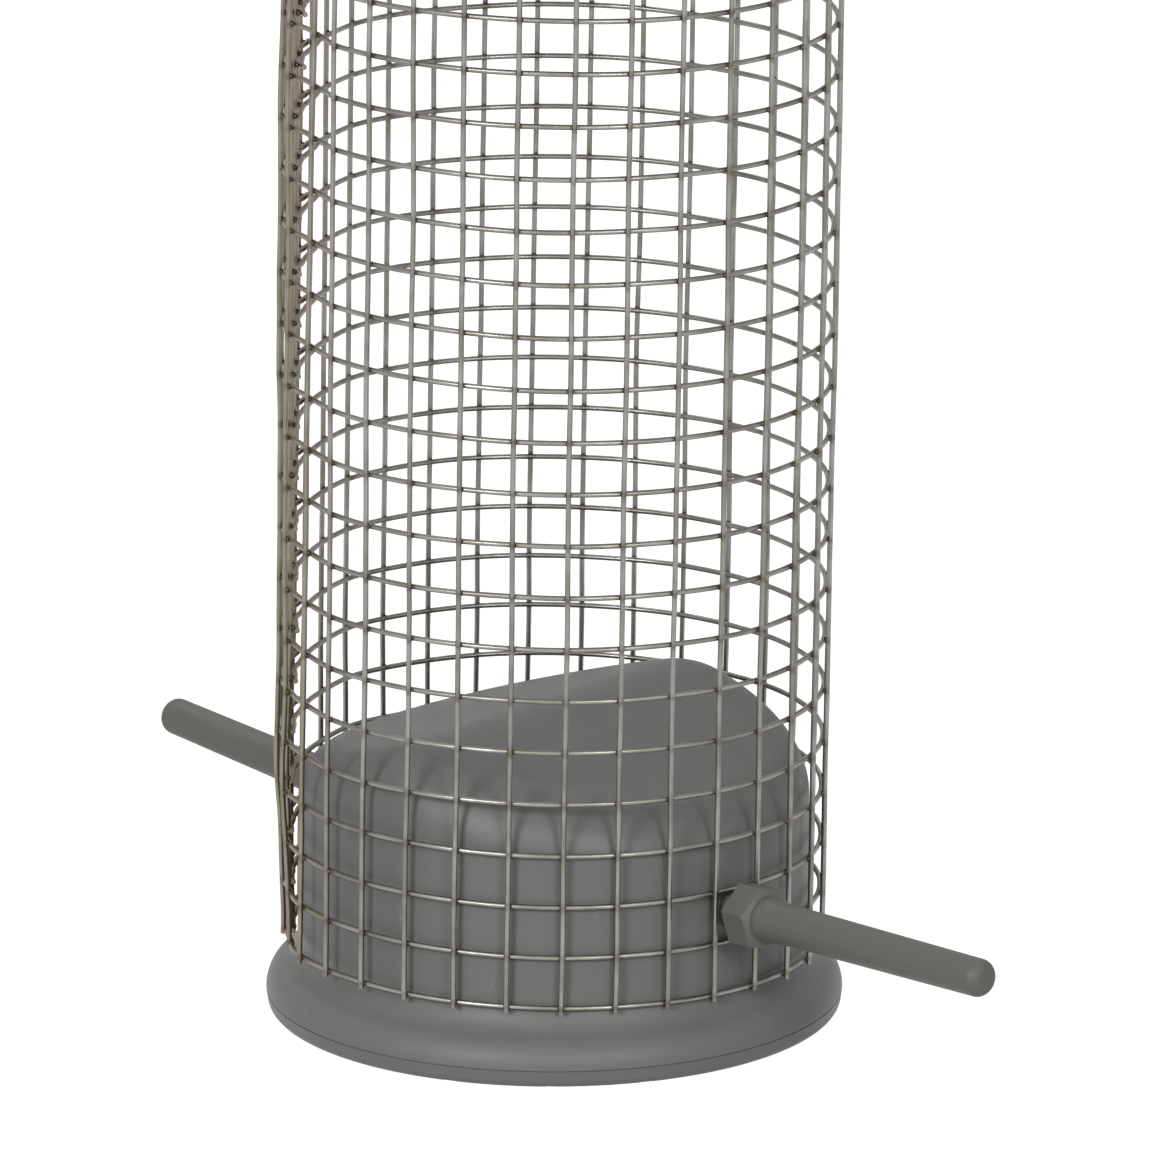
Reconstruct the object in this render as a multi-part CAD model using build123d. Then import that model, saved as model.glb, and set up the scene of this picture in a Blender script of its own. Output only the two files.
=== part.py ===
from build123d import *
from math import atan, cos, degrees, radians, sin, sqrt, tan
import os

os.makedirs("parts", exist_ok=True)

# A peanut feeder: a lapped tube of welded mesh between a drum-shaped base with two perches
# and a collar that carries a sliding lid and a wire bail. Millimetres, +Z up, the origin at
# the centre of the foot, the perches along X.

# General clearances
cut_overrun = 5.0
seat_gap = 0.1
thread_gap = 0.05
press_gap = 0.02

# Welded mesh: one sheet rolled into a tube, with its uprights outside its hoops
mesh_pitch = 6.35
wire_d = 0.62
hoop_sides = 8
weld_sink = 0.05
columns_per_turn = 32
column_count = 35
hoop_count = 32
lap_gap = 0.06
outer_end_columns = 13.5
step_in_start_columns = 29.5
step_in_end_columns = 31.5
hoop_stub = 1.45
upright_foot_stub = 0.5
upright_top_stub = 0.8

# Base casting: a drum with a pitched roof, and a cove down to a rounded rim
drum_r = 31.2
drum_draft = 0.3
mesh_fit = 0.15
rim_round = 4.0
rim_turn = 60.0
mesh_lift = 2.6
ridge_z = 38.3
roof_slope = 0.26
ridge_turn = 8.0
ridge_round = 14.0
shoulder_round = 6.5
casting_wall = 2.0

# Foot plate under the rim, with a parting groove above it and shallow notches in its lower edge
plate_t = 2.3
plate_inset = 0.15
plate_edge_round = 1.2
parting_h = 0.12
parting_depth = 0.15
locating_rib_h = 1.5
locating_rib_t = 1.5
locating_gap = 0.2
notch_count = 9
notch_first_angle = -23.2
notch_width = 1.6
notch_depth = 0.2
notch_reach = 2.6

# Countersunk screws that hold the foot plate
foot_screw_count = 3
foot_screw_inset = 7.2
foot_screw_first_angle = 90.0
foot_screw_d = 3.0
foot_screw_length = 9.0
foot_screw_head_d = 5.5
foot_screw_recess = 0.2
foot_boss_d = 7.0
bore_bottom = 1.5

# Perches: a threaded shank through one mesh cell, a hex collar, a boss and a tapered rod
perch_rows_up = 1.5
right_tilt = 1.9
right_rise = 0.1
right_reach = 75.9
left_tilt = 3.8
left_rise = -0.7
left_reach = 72.7
perch_gap = 0.85
shank_d = 4.0
shank_depth = 11.0
hex_across_flats = 7.2
hex_length = 3.9
hex_turn = -15.0
hex_corner_cut = 0.5
hex_cut_angle = 30.0
perch_boss_d = 5.4
perch_boss_length = 3.0
rod_root_d = 5.0
rod_tip_d = 4.6
tip_round = 1.4
drum_boss_d = 8.5
drum_boss_depth = 13.5

# Top collar: a sleeve inside the mesh, a rim like the base's and a spigot for the lid
sleeve_length = 20.0
collar_wall = 2.0
collar_gap = 0.3
collar_land = 1.5
spigot_inset = 2.2
spigot_h = 4.0
lug_reach = 4.5
lug_width = 8.0
lug_height = 8.0
pad_d = 8.0
pad_t = 3.0

# Pan head screws and washers that hold the mesh to the collar
collar_screw_count = 4
collar_screw_cells_down = 1.5
collar_screw_d = 3.0
collar_screw_length = 7.0
pan_head_d = 5.6
pan_head_h = 2.0
pan_edge_round = 0.9
drive_slot_width = 0.8
drive_slot_depth = 0.9
washer_d = 8.0
washer_t = 0.6

# Bail: one bent wire with hooked ends, held down by push-on clips
bail_d = 3.0
leg_inset = 5.2
hook_reach = 5.5
hook_radius = 3.0
leg_hole_gap = 0.1
bail_pitch_angle = 35.0
shoulder_bend = 12.0
apex_bend = 8.0
clip_d = 8.0
clip_t = 0.8

# Lid: a dome with a drip skirt and two guide bosses, lifted along the bail's legs
lid_wall = 2.0
skirt_drop = 3.0
skirt_gap = 0.8
dome_edge_h = 4.0
dome_edge_inset = 1.0
dome_top_h = 22.0
spigot_gap = 0.6
guide_boss_d = 9.0
guide_boss_rise = 1.0
guide_boss_bottom = 9.0
guide_hole_d = 6.4
bush_gap = 0.08
bush_flange_d = 9.0
bush_flange_t = 1.2
lid_travel = 80.0
travel_margin = 2.0

# Shared radii and heights
wire_r = wire_d / 2
bail_r = bail_d / 2
column_step = 360 / columns_per_turn
inner_hoop_r = drum_r + mesh_fit + wire_r
layer_step = wire_d - weld_sink
hoop_r = inner_hoop_r + layer_step + wire_d + lap_gap
upright_r = hoop_r + layer_step
rim_r = drum_r + rim_round
rim_top_z = plate_t + rim_round
cove_r = rim_round * cos(radians(rim_turn)) / (1 - cos(radians(rim_turn)))
cove_top_z = plate_t + (rim_round + cove_r) * sin(radians(rim_turn))
mesh_foot_z = rim_top_z + mesh_lift
first_hoop_z = mesh_foot_z + upright_foot_stub
last_hoop_z = first_hoop_z + mesh_pitch * (hoop_count - 1)
mesh_top_z = last_hoop_z + upright_top_stub
clamp_r = upright_r * cos(radians(column_step / 2)) + wire_r
foot_screw_place_r = drum_r - casting_wall - foot_screw_inset
spigot_r = rim_r - spigot_inset
leg_x = drum_r - collar_wall - leg_inset
lid_r = rim_r + skirt_gap + lid_wall
collar_z = mesh_top_z + collar_gap
collar_top_z = collar_z + rim_round + collar_land
lid_z = collar_top_z + seat_gap


def export(node, shapes):
    """Writes one node, as one solid or as a group of solids, in one file."""
    solids = [solid for shape in shapes for solid in shape.solids()]
    body = solids[0] if len(solids) == 1 else Compound(children=solids)
    body.label = node
    export_step(body, f"parts/{node}.step")
    print(node, len(solids), "solids", round(sum(solid.volume for solid in solids), 1), "mm3")


def turned(shape, angle):
    """The shape turned about the feeder's axis."""
    return Rot(0, 0, angle) * shape


def around(shape, count, first_angle=0):
    """Copies of the shape, evenly spaced about the feeder's axis."""
    return [turned(shape, first_angle + 360 * i / count) for i in range(count)]


def rod(radius, low, high):
    """A cylinder on the axis between two heights."""
    return Pos(0, 0, low) * extrude(Circle(radius), high - low)


def ring(outer_r, inner_r, low, high):
    return rod(outer_r, low, high) - rod(inner_r, low - cut_overrun, high + cut_overrun)


def spun(*edges):
    """The solid that a closed outline in the XZ plane makes when it turns about Z."""
    return revolve(make_face([edge for line in edges for edge in line.edges()]), Axis.Z)


def outline(*points):
    return Polyline(*[(x, 0, z) for x, z in points])


# Welded mesh


def column_angle(column):
    """The columns run counter-clockwise, seen from above, from the sheet's outer end."""
    return (column - outer_end_columns) * column_step


def biarc(start, start_dir, end, end_dir):
    """Two arcs that leave and arrive along the given directions."""
    across = end - start
    both = start_dir + end_dir
    bend = 2 * (1 - start_dir.dot(end_dir))
    slope = across.dot(both)
    reach = (sqrt(slope**2 + bend * across.dot(across)) - slope) / bend
    middle = (start + start_dir * reach + end - end_dir * reach) * 0.5
    first = TangentArc(start, middle, tangent=start_dir)
    return [first, TangentArc(middle, end, tangent=first % 1)]


def hoop_path():
    """The seen turn, the step inwards at the lap, and the short inner layer under it."""
    stub_angle = degrees(hoop_stub / hoop_r)
    inner_stub_angle = degrees(hoop_stub / inner_hoop_r)
    start = column_angle(0) - stub_angle
    step_from = column_angle(step_in_start_columns)
    step_to = column_angle(step_in_end_columns)
    end = column_angle(column_count - 1) + inner_stub_angle
    outer = CenterArc((0, 0), hoop_r, start, step_from - start)
    inner = CenterArc((0, 0), inner_hoop_r, step_to, end - step_to)
    return [outer, *biarc(outer @ 1, outer % 1, inner @ 0, inner % 0), inner]


def path_radius(edges, angle):
    """How far the hoops' line lies from the axis at an angle."""
    ray_end = Vector(drum_r + rim_r, 0).rotate(Axis.Z, angle)
    ray = Edge.make_line(Vector(0, 0), ray_end)
    return min(ray.distance_to_with_closest_points(edge)[1].length for edge in edges
               if edge.distance_to(ray) < press_gap)


def mesh_tube():
    """The hoops, of faceted wire because there are so many turns of it, and the round uprights."""
    edges = hoop_path()
    hoop_line = Wire(edges)
    section = Plane(edges[0] @ 0, z_dir=edges[0] % 0) * RegularPolygon(wire_r, hoop_sides)
    hoop = sweep(section, path=hoop_line)
    swept = section.area * hoop_line.length
    print("hoop volume against section times length", round(hoop.volume / swept, 4))
    hoops = [Pos(0, 0, first_hoop_z + mesh_pitch * row) * hoop for row in range(hoop_count)]
    uprights = []
    for column in range(column_count):
        if column <= step_in_start_columns:
            radius = hoop_r
        elif column >= step_in_end_columns:
            radius = inner_hoop_r
        else:
            radius = path_radius(edges[1:3], column_angle(column))
        upright = Pos(radius + layer_step, 0, 0) * rod(wire_r, mesh_foot_z, mesh_top_z)
        uprights.append(turned(upright, column_angle(column)))
    return hoops, uprights


# Perches


def perch_plane(tilt, rise):
    """Local Z runs out along the perch from near the middle of its mesh cell."""
    root = (hoop_r, 0, first_hoop_z + perch_rows_up * mesh_pitch + rise)
    return Plane(root, x_dir=(0, 1, 0), z_dir=(cos(radians(tilt)), 0, sin(radians(tilt))))


hex_back = clamp_r + perch_gap - hoop_r
hex_front = hex_back + hex_length


def perch(tilt, rise, reach):
    perch_length = (reach - hoop_r) / cos(radians(tilt))
    rod_start = hex_front + perch_boss_length
    tip_r = rod_tip_d / 2
    tip_start = perch_length - tip_round
    flat_r = tip_r - tip_round
    points = [(0, -shank_depth), (shank_d / 2, -shank_depth), (shank_d / 2, hex_back),
              (perch_boss_d / 2, hex_back), (perch_boss_d / 2, hex_front),
              (rod_root_d / 2, rod_start), (tip_r, tip_start)]
    tip = ThreePointArc((tip_r, 0, tip_start),
                        (flat_r + tip_round * sin(radians(45)), 0, tip_start + tip_round * cos(radians(45))),
                        (flat_r, 0, perch_length))
    stick = spun(outline(*points), tip, outline((flat_r, perch_length), (0, perch_length), (0, -shank_depth)))
    half_flats = hex_across_flats / 2
    corner_r = half_flats / cos(radians(30))
    hexagon = RegularPolygon(half_flats, 6, major_radius=False, rotation=hex_turn)
    prism = Pos(0, 0, hex_back) * extrude(hexagon, hex_length)
    cut_drop = (corner_r - half_flats + hex_corner_cut) * tan(radians(hex_cut_angle))
    face_r = half_flats - hex_corner_cut
    chamfered = spun(outline((0, hex_back), (corner_r, hex_back), (corner_r, hex_front - cut_drop),
                             (face_r, hex_front), (0, hex_front), (0, hex_back)))
    return perch_plane(tilt, rise) * (stick + (prism & chamfered))


def perch_bore_tools(tilt, rise):
    """The boss behind the drum's wall and the threaded bore through both."""
    plane = perch_plane(tilt, rise)
    wall_at = drum_r - casting_wall / 2 - hoop_r
    boss = plane * rod(drum_boss_d / 2, -drum_boss_depth, wall_at)
    bore = plane * rod(shank_d / 2 + thread_gap, -shank_depth - bore_bottom / 2, cut_overrun)
    return boss, bore


# Base casting and foot plate


def roof_block(apex_z, crown):
    """Everything below two sloped planes that meet in a rounded ridge."""
    half = rim_r + cut_overrun
    eaves = apex_z - roof_slope * half
    face = make_face(outline((-half, 0), (-half, eaves), (0, apex_z), (half, eaves), (half, 0), (-half, 0)))
    block = extrude(face, half, both=True)
    ridge = block.edges().filter_by(Axis.Y).sort_by(Axis.Z)[-1]
    return turned(fillet(ridge, crown), ridge_turn)


def capped_by_roof(drum, apex_z, crown, shoulder):
    """Cuts the drum by the roof and rounds the shoulder where they meet."""
    cut = drum & roof_block(apex_z, crown)
    eaves_foot = cove_top_z + casting_wall
    curved = [edge for edge in cut.edges() if edge.geom_type != GeomType.LINE]
    eaves = [edge for edge in curved if edge.center().Z > eaves_foot]
    return fillet(eaves, shoulder)


def drum_blank(radius, low, high, draft):
    return spun(outline((0, low), (radius, low), (radius, cove_top_z), (radius - draft, high), (0, high), (0, low)))


def rim_ring():
    """The rim's rounding turns into a cove that runs up to the drum's wall."""
    convex = [(drum_r + rim_round * cos(radians(a)), 0, plate_t + rim_round * sin(radians(a)))
              for a in (0, rim_turn / 2, rim_turn)]
    concave = [(drum_r + cove_r - cove_r * cos(radians(a)), 0, cove_top_z - cove_r * sin(radians(a)))
               for a in (rim_turn, rim_turn / 2, 0)]
    inner = drum_r - casting_wall
    return spun(outline((inner, plate_t), (rim_r, plate_t)), ThreePointArc(*convex), ThreePointArc(*concave),
                outline((drum_r, cove_top_z), (inner, cove_top_z), (inner, plate_t)))


def foot_screw_boss():
    return Pos(foot_screw_place_r, 0, 0) * rod(foot_boss_d / 2, plate_t, ridge_z)


def foot_screw_bore():
    top = foot_screw_length + foot_screw_recess + bore_bottom
    return Pos(foot_screw_place_r, 0, 0) * rod(foot_screw_d / 2 + thread_gap, plate_t - cut_overrun, top)


def base_casting():
    high = ridge_z + cut_overrun
    outside = capped_by_roof(drum_blank(drum_r, plate_t, high, drum_draft), ridge_z, ridge_round, shoulder_round)
    inner_apex = ridge_z - casting_wall / cos(atan(roof_slope))
    cavity_blank = drum_blank(drum_r - casting_wall, plate_t - cut_overrun, high, drum_draft)
    cavity = capped_by_roof(cavity_blank, inner_apex, ridge_round - casting_wall, shoulder_round - casting_wall)
    right_boss, right_bore = perch_bore_tools(right_tilt, right_rise)
    left_boss, left_bore = perch_bore_tools(left_tilt, left_rise)
    screw_bosses = around(foot_screw_boss(), foot_screw_count, foot_screw_first_angle)
    screw_bores = around(foot_screw_bore(), foot_screw_count, foot_screw_first_angle)
    body = outside + rim_ring() - cavity
    for item in [right_boss, turned(left_boss, 180)] + screw_bosses:
        body += item & outside
    for item in [right_bore, turned(left_bore, 180)] + screw_bores:
        body -= item
    return body


def foot_plate():
    foot_r = rim_r - plate_inset
    groove_r = rim_r - parting_depth
    groove_z = plate_t - parting_h
    flat_r = foot_r - plate_edge_round
    edge = ThreePointArc((flat_r, 0, 0),
                         (flat_r + plate_edge_round * sin(radians(45)), 0, plate_edge_round * (1 - cos(radians(45)))),
                         (foot_r, 0, plate_edge_round))
    disc = spun(outline((0, 0), (flat_r, 0)), edge,
                outline((foot_r, plate_edge_round), (rim_r, groove_z), (groove_r, groove_z), (groove_r, plate_t),
                        (0, plate_t), (0, 0)))
    rib_r = drum_r - casting_wall - locating_gap
    plate = disc + ring(rib_r, rib_r - locating_rib_t, plate_t - notch_depth, plate_t + locating_rib_h)
    notch = Pos(rim_r - notch_reach + cut_overrun / 2, 0, 0) * Box(cut_overrun, notch_width, 2 * notch_depth)
    for item in around(notch, notch_count, notch_first_angle):
        plate -= item
    head_r = foot_screw_head_d / 2 + thread_gap
    shank_r = foot_screw_d / 2 + seat_gap
    sink = spun(outline((0, -cut_overrun), (head_r, -cut_overrun), (head_r, foot_screw_recess),
                        (shank_r, foot_screw_recess + head_r - shank_r), (shank_r, plate_t + cut_overrun),
                        (0, plate_t + cut_overrun), (0, -cut_overrun)))
    for item in around(Pos(foot_screw_place_r, 0, 0) * sink, foot_screw_count, foot_screw_first_angle):
        plate -= item
    return plate


def foot_screw():
    head_r = foot_screw_head_d / 2
    shank_r = foot_screw_d / 2
    low = foot_screw_recess
    top = low + foot_screw_length
    body = spun(outline((0, low), (head_r, low), (shank_r, low + head_r - shank_r), (shank_r, top), (0, top), (0, low)))
    slot = Pos(0, 0, low) * Box(foot_screw_head_d, drive_slot_width, drive_slot_depth)
    return Pos(foot_screw_place_r, 0, 0) * (body - slot)


# Top collar, its screws and washers

screw_z = last_hoop_z - collar_screw_cells_down * mesh_pitch
washer_face_r = clamp_r + seat_gap
head_face_r = washer_face_r + washer_t
radial = Plane((0, 0, screw_z), x_dir=(0, 0, 1), z_dir=(1, 0, 0))


def top_collar():
    sleeve_low = collar_z - sleeve_length
    inner = drum_r - collar_wall
    rim_z = collar_z + rim_round
    spigot_top = collar_top_z + spigot_h
    arc = ThreePointArc((drum_r, 0, collar_z),
                        (drum_r + rim_round * sin(radians(45)), 0, rim_z - rim_round * cos(radians(45))),
                        (rim_r, 0, rim_z))
    body = spun(outline((inner, sleeve_low), (drum_r, sleeve_low), (drum_r, collar_z)), arc,
                outline((rim_r, rim_z), (rim_r, collar_top_z), (spigot_r, collar_top_z), (spigot_r, spigot_top),
                        (inner, spigot_top), (inner, sleeve_low)))
    tube_room = rod(inner + collar_wall / 2, sleeve_low, spigot_top)
    lug_length = inner + collar_wall / 2 - leg_x + lug_reach
    lug = Pos(leg_x - lug_reach + lug_length / 2, 0, collar_z) * Box(lug_length, lug_width, lug_height)
    leg_hole = Pos(leg_x, 0, 0) * rod(bail_r + leg_hole_gap, sleeve_low, spigot_top)
    pad = radial * rod(pad_d / 2, inner - pad_t, drum_r - collar_wall / 2)
    thread = radial * rod(collar_screw_d / 2 + thread_gap, 0, rim_r)
    for item in [lug, turned(lug, 180)] + around(pad, collar_screw_count):
        body += item & tube_room
    for item in [leg_hole, turned(leg_hole, 180)] + around(thread, collar_screw_count):
        body -= item
    return body


def collar_screw():
    head_r = pan_head_d / 2
    shank_r = collar_screw_d / 2
    head_top = head_face_r + pan_head_h
    tip = head_face_r - collar_screw_length
    body = spun(outline((0, tip), (shank_r, tip), (shank_r, head_face_r), (head_r, head_face_r),
                        (head_r, head_top), (0, head_top), (0, tip)))
    rim_edge = body.edges().filter_by(GeomType.CIRCLE).sort_by(Axis.Z)[-1]
    body = fillet(rim_edge, pan_edge_round)
    slot = Pos(0, 0, head_top) * Box(pan_head_d, drive_slot_width, 2 * drive_slot_depth)
    return radial * (body - slot)


def collar_washer():
    return radial * ring(washer_d / 2, collar_screw_d / 2 + seat_gap, washer_face_r, head_face_r - press_gap)


# Bail and its clips


def crown_height(radius, inset=0):
    """How high the lid's crown stands over the lid's seat, at a radius. An inset gives the ceiling."""
    foot = lid_r - dome_edge_inset
    rise = dome_top_h - dome_edge_h
    crown_r = (foot**2 + rise**2) / (2 * rise)
    return dome_top_h - crown_r + sqrt((crown_r - inset) ** 2 - radius**2)


def guide_boss_top():
    """The guide bosses stand just clear of the crown on the side towards the middle."""
    return crown_height(leg_x - guide_boss_d / 2) + guide_boss_rise


lug_low_z = collar_z - lug_height / 2
lug_top_z = collar_z + lug_height / 2
hook_z = lug_low_z - hook_radius
bush_top_z = lid_z + guide_boss_top() + bush_flange_t
leg_top_z = bush_top_z + lid_travel + travel_margin
shoulder_z = leg_top_z + shoulder_bend * tan(radians(90 - bail_pitch_angle) / 2)
apex_z = shoulder_z + leg_x * tan(radians(bail_pitch_angle))


def hanger_bail():
    right = [(leg_x - hook_reach, hook_z), (leg_x, hook_z), (leg_x, shoulder_z)]
    left = [(-x, z) for x, z in reversed(right)]
    points = [(x, 0, z) for x, z in right + [(0, apex_z)] + left]
    bends = [hook_radius, shoulder_bend, apex_bend, shoulder_bend, hook_radius]
    line = FilletPolyline(*points, radius=bends)
    section = Plane(line @ 0, z_dir=line % 0) * Circle(bail_r)
    wire = sweep(section, path=line)
    print("bail volume against section times length", round(wire.volume / (section.area * line.length), 4))
    return wire


def bail_clip():
    low = lug_top_z + seat_gap
    return Pos(leg_x, 0, 0) * ring(clip_d / 2, bail_r + press_gap, low, low + clip_t)


# Lid and its bushes


def dome_arc(foot_r, inset=0):
    """The lid's crown, or its ceiling at an inset, as an arc from its foot radius to the middle."""
    foot_z, middle_z, top_z = [lid_z + crown_height(radius, inset) for radius in (foot_r, foot_r / 2, 0)]
    return foot_z, ThreePointArc((foot_r, 0, foot_z), (foot_r / 2, 0, middle_z), (0, 0, top_z))


def lid_dome():
    skirt_z = lid_z - skirt_drop
    foot_r = lid_r - dome_edge_inset
    foot_z, crown = dome_arc(foot_r)
    outside = spun(outline((0, skirt_z), (lid_r, skirt_z), (lid_r, foot_z - dome_edge_inset), (foot_r, foot_z)),
                   crown, outline((0, lid_z + dome_top_h), (0, skirt_z)))
    room_r = spigot_r + spigot_gap
    room_top, ceiling = dome_arc(room_r, lid_wall)
    hollow = spun(outline((0, lid_z), (room_r, lid_z), (room_r, room_top)), ceiling,
                  outline((0, lid_z + dome_top_h - lid_wall), (0, lid_z)))
    skirt_room = rod(rim_r + skirt_gap, skirt_z - cut_overrun, lid_z)
    boss = Pos(leg_x, 0, lid_z) * rod(guide_boss_d / 2, guide_boss_bottom, guide_boss_top())
    hole = Pos(leg_x, 0, lid_z) * rod(guide_hole_d / 2, 0, dome_top_h + cut_overrun)
    body = outside - hollow - skirt_room + boss + turned(boss, 180)
    return body - hole - turned(hole, 180)


def lid_bush():
    low = lid_z + guide_boss_bottom
    top = lid_z + guide_boss_top()
    inner = bail_r + bush_gap
    sleeve = ring(guide_hole_d / 2 - press_gap, inner, low, top + bush_flange_t)
    flange = ring(bush_flange_d / 2, inner, top + press_gap, top + bush_flange_t)
    return Pos(leg_x, 0, 0) * (sleeve + flange)


mesh_hoops, mesh_uprights = mesh_tube()
one_clip = bail_clip()
one_bush = lid_bush()

export("base_casting", [base_casting()])
export("foot_plate", [foot_plate()])
export("foot_screws", around(foot_screw(), foot_screw_count, foot_screw_first_angle))
export("perch_right", [perch(right_tilt, right_rise, right_reach)])
export("perch_left", [turned(perch(left_tilt, left_rise, left_reach), 180)])
export("mesh_hoops", mesh_hoops)
export("mesh_uprights", mesh_uprights)
export("top_collar", [top_collar()])
export("collar_screws", around(collar_screw(), collar_screw_count))
export("collar_washers", around(collar_washer(), collar_screw_count))
export("hanger_bail", [hanger_bail()])
export("bail_clips", [one_clip, turned(one_clip, 180)])
export("lid_dome", [lid_dome()])
export("lid_bushes", [one_bush, turned(one_bush, 180)])
print("height", round(apex_z, 1), "lid seat", round(lid_z, 2), "hook", round(hook_z, 2))
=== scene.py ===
# %% [markdown]
# # A peanut feeder in its studio
# The real object is a tube of welded wire mesh that stands on a matte grey casting. Two perches
# screw into the casting, and a domed lid slides up a wire bail at the top. The solids of every
# rigid piece come in as a fixed frame, in metres. The castings have the right shape already and
# only need a finish. The mesh is made anew here, because real welded wire is never quite
# straight, leans a little, and carries a brown weld at each crossing.

# %% Load the frame
from math import cos, pi, radians, sin, tan

import bpy
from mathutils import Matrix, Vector


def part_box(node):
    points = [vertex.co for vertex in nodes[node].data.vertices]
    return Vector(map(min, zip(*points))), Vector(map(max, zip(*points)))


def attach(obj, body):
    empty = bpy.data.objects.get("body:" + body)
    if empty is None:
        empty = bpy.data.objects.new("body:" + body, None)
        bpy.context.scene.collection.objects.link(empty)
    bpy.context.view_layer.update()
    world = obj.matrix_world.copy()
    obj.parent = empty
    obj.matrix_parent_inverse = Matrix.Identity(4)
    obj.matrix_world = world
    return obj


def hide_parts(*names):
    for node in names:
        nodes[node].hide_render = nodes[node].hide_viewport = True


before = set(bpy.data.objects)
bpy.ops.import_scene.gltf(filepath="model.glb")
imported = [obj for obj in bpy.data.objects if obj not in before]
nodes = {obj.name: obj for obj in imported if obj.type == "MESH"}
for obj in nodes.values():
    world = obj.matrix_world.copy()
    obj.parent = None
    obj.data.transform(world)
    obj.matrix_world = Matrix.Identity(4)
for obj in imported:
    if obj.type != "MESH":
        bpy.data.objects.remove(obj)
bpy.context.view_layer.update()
MM = 0.001
print("pieces in the frame:", ", ".join(sorted(nodes)))

# %% [markdown]
# ## The camera
# A camera fitted to the mesh crossings looks down at the feeder by about 17 degrees, from the
# side where the right perch comes towards it. A long lens from far away keeps the tube's sides
# nearly parallel. The lens isn't shifted: the camera is turned instead, so that the point of the
# tube's axis at the lowest hoop falls on its pixel, and other views can reuse the camera.

# %% Camera
FRAME_PX = 1160
AXIS_PX = (554, 927)
SENSOR_MM = 36
LENS_PX = 11446
SEES_TO = 20
CAMERA_AWAY = 1398 * MM
CAMERA_RISE = radians(17.25)
CAMERA_SIDE = radians(-41.8)
MESH_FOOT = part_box("mesh_uprights")[0].z
UPRIGHT_FOOT_STUB = 0.5 * MM
LOWEST_HOOP = MESH_FOOT + UPRIGHT_FOOT_STUB


def direction(side, rise):
    """A unit vector from its angle about the tube's axis and its angle above the floor."""
    return Vector((cos(side) * cos(rise), sin(side) * cos(rise), sin(rise)))


target = Vector((0, 0, LOWEST_HOOP))
towards_camera = direction(CAMERA_SIDE, CAMERA_RISE)
picture_right = Vector((-sin(CAMERA_SIDE), cos(CAMERA_SIDE), 0))
picture_up = towards_camera.cross(picture_right)
right_px = FRAME_PX / 2 - AXIS_PX[0]
up_px = AXIS_PX[1] - FRAME_PX / 2
look = -towards_camera + picture_right * (right_px / LENS_PX) + picture_up * (up_px / LENS_PX)

lens = bpy.data.cameras.new("camera")
lens.sensor_width = SENSOR_MM
lens.lens = SENSOR_MM * LENS_PX / FRAME_PX
lens.clip_end = SEES_TO
camera = bpy.data.objects.new("camera", lens)
camera.location = target + towards_camera * CAMERA_AWAY
camera.rotation_euler = look.to_track_quat("-Z", "Y").to_euler()
bpy.context.scene.collection.objects.link(camera)
bpy.context.scene.camera = camera
print("lens", round(lens.lens, 1), "mm, camera at", [round(v, 3) for v in camera.location])

# %% [markdown]
# ## Helpers for trees of nodes
# Every finish here is a tree of nodes, and so is every shape that grows. Such a tree can be wired
# by hand in the node editor, but in a script it can be read from top to bottom and changed in one
# place. The first helper starts a material, the second adds a node with its settings and what
# feeds it, and the others are the sums that come up again and again.

# %% Node helpers
def fresh_material(name):
    """A node material emptied down to its output node."""
    material = bpy.data.materials.new(name)
    material.use_nodes = True
    tree = material.node_tree
    tree.nodes.clear()
    return material, tree, tree.nodes.new("ShaderNodeOutputMaterial")


def add(tree, kind, feeds=None, **settings):
    """A node with its settings. Feeds are values or other nodes' outputs, by socket."""
    node = tree.nodes.new(kind)
    for name, value in settings.items():
        setattr(node, name, value)
    for socket, value in (feeds or {}).items():
        if isinstance(value, bpy.types.NodeSocket):
            tree.links.new(value, node.inputs[socket])
        else:
            node.inputs[socket].default_value = value
    return node


def math(tree, operation, *values):
    return add(tree, "ShaderNodeMath", dict(enumerate(values)), operation=operation).outputs[0]


def product(tree, first, *others):
    """All the values multiplied together."""
    for other in others:
        first = math(tree, "MULTIPLY", first, other)
    return first


print("helpers for node trees are ready")

# %% [markdown]
# ## The floor
# The picture has a plain white ground. A floor that glowed by itself would light the feeder from
# below, and a plain white one would turn grey in the shade. So the floor is a pale diffuse sheet
# that takes the feeder's soft shadow, and its glow is there only for rays that come from the
# camera or off a shiny surface.

# %% Floor
bpy.context.scene.view_settings.view_transform = "Standard"
FLOOR_SIZE = 9.0
FLOOR_COLOUR = (0.32, 0.32, 0.32, 1)
FLOOR_WHITER = 0.95


def seen_directly(tree):
    """One for rays from the camera or off a shiny surface, and nothing for any other ray."""
    paths = add(tree, "ShaderNodeLightPath")
    return math(tree, "MAXIMUM", paths.outputs["Is Camera Ray"], paths.outputs["Is Glossy Ray"])


def studio_floor():
    half = FLOOR_SIZE / 2
    mesh = bpy.data.meshes.new("floor")
    corners = [(-half, -half, 0), (half, -half, 0), (half, half, 0), (-half, half, 0)]
    mesh.from_pydata(corners, [], [(0, 1, 2, 3)])
    floor = bpy.data.objects.new("floor", mesh)
    bpy.context.scene.collection.objects.link(floor)
    material, tree, output = fresh_material("floor_white")
    whiter = math(tree, "MULTIPLY", seen_directly(tree), FLOOR_WHITER)
    paint = add(tree, "ShaderNodeBsdfDiffuse", {"Color": FLOOR_COLOUR})
    glow = add(tree, "ShaderNodeEmission", {"Strength": whiter})
    both = add(tree, "ShaderNodeAddShader", {0: paint.outputs[0], 1: glow.outputs[0]})
    tree.links.new(both.outputs[0], output.inputs["Surface"])
    mesh.materials.append(material)


studio_floor()
print("floor", FLOOR_SIZE, "m wide")

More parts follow.
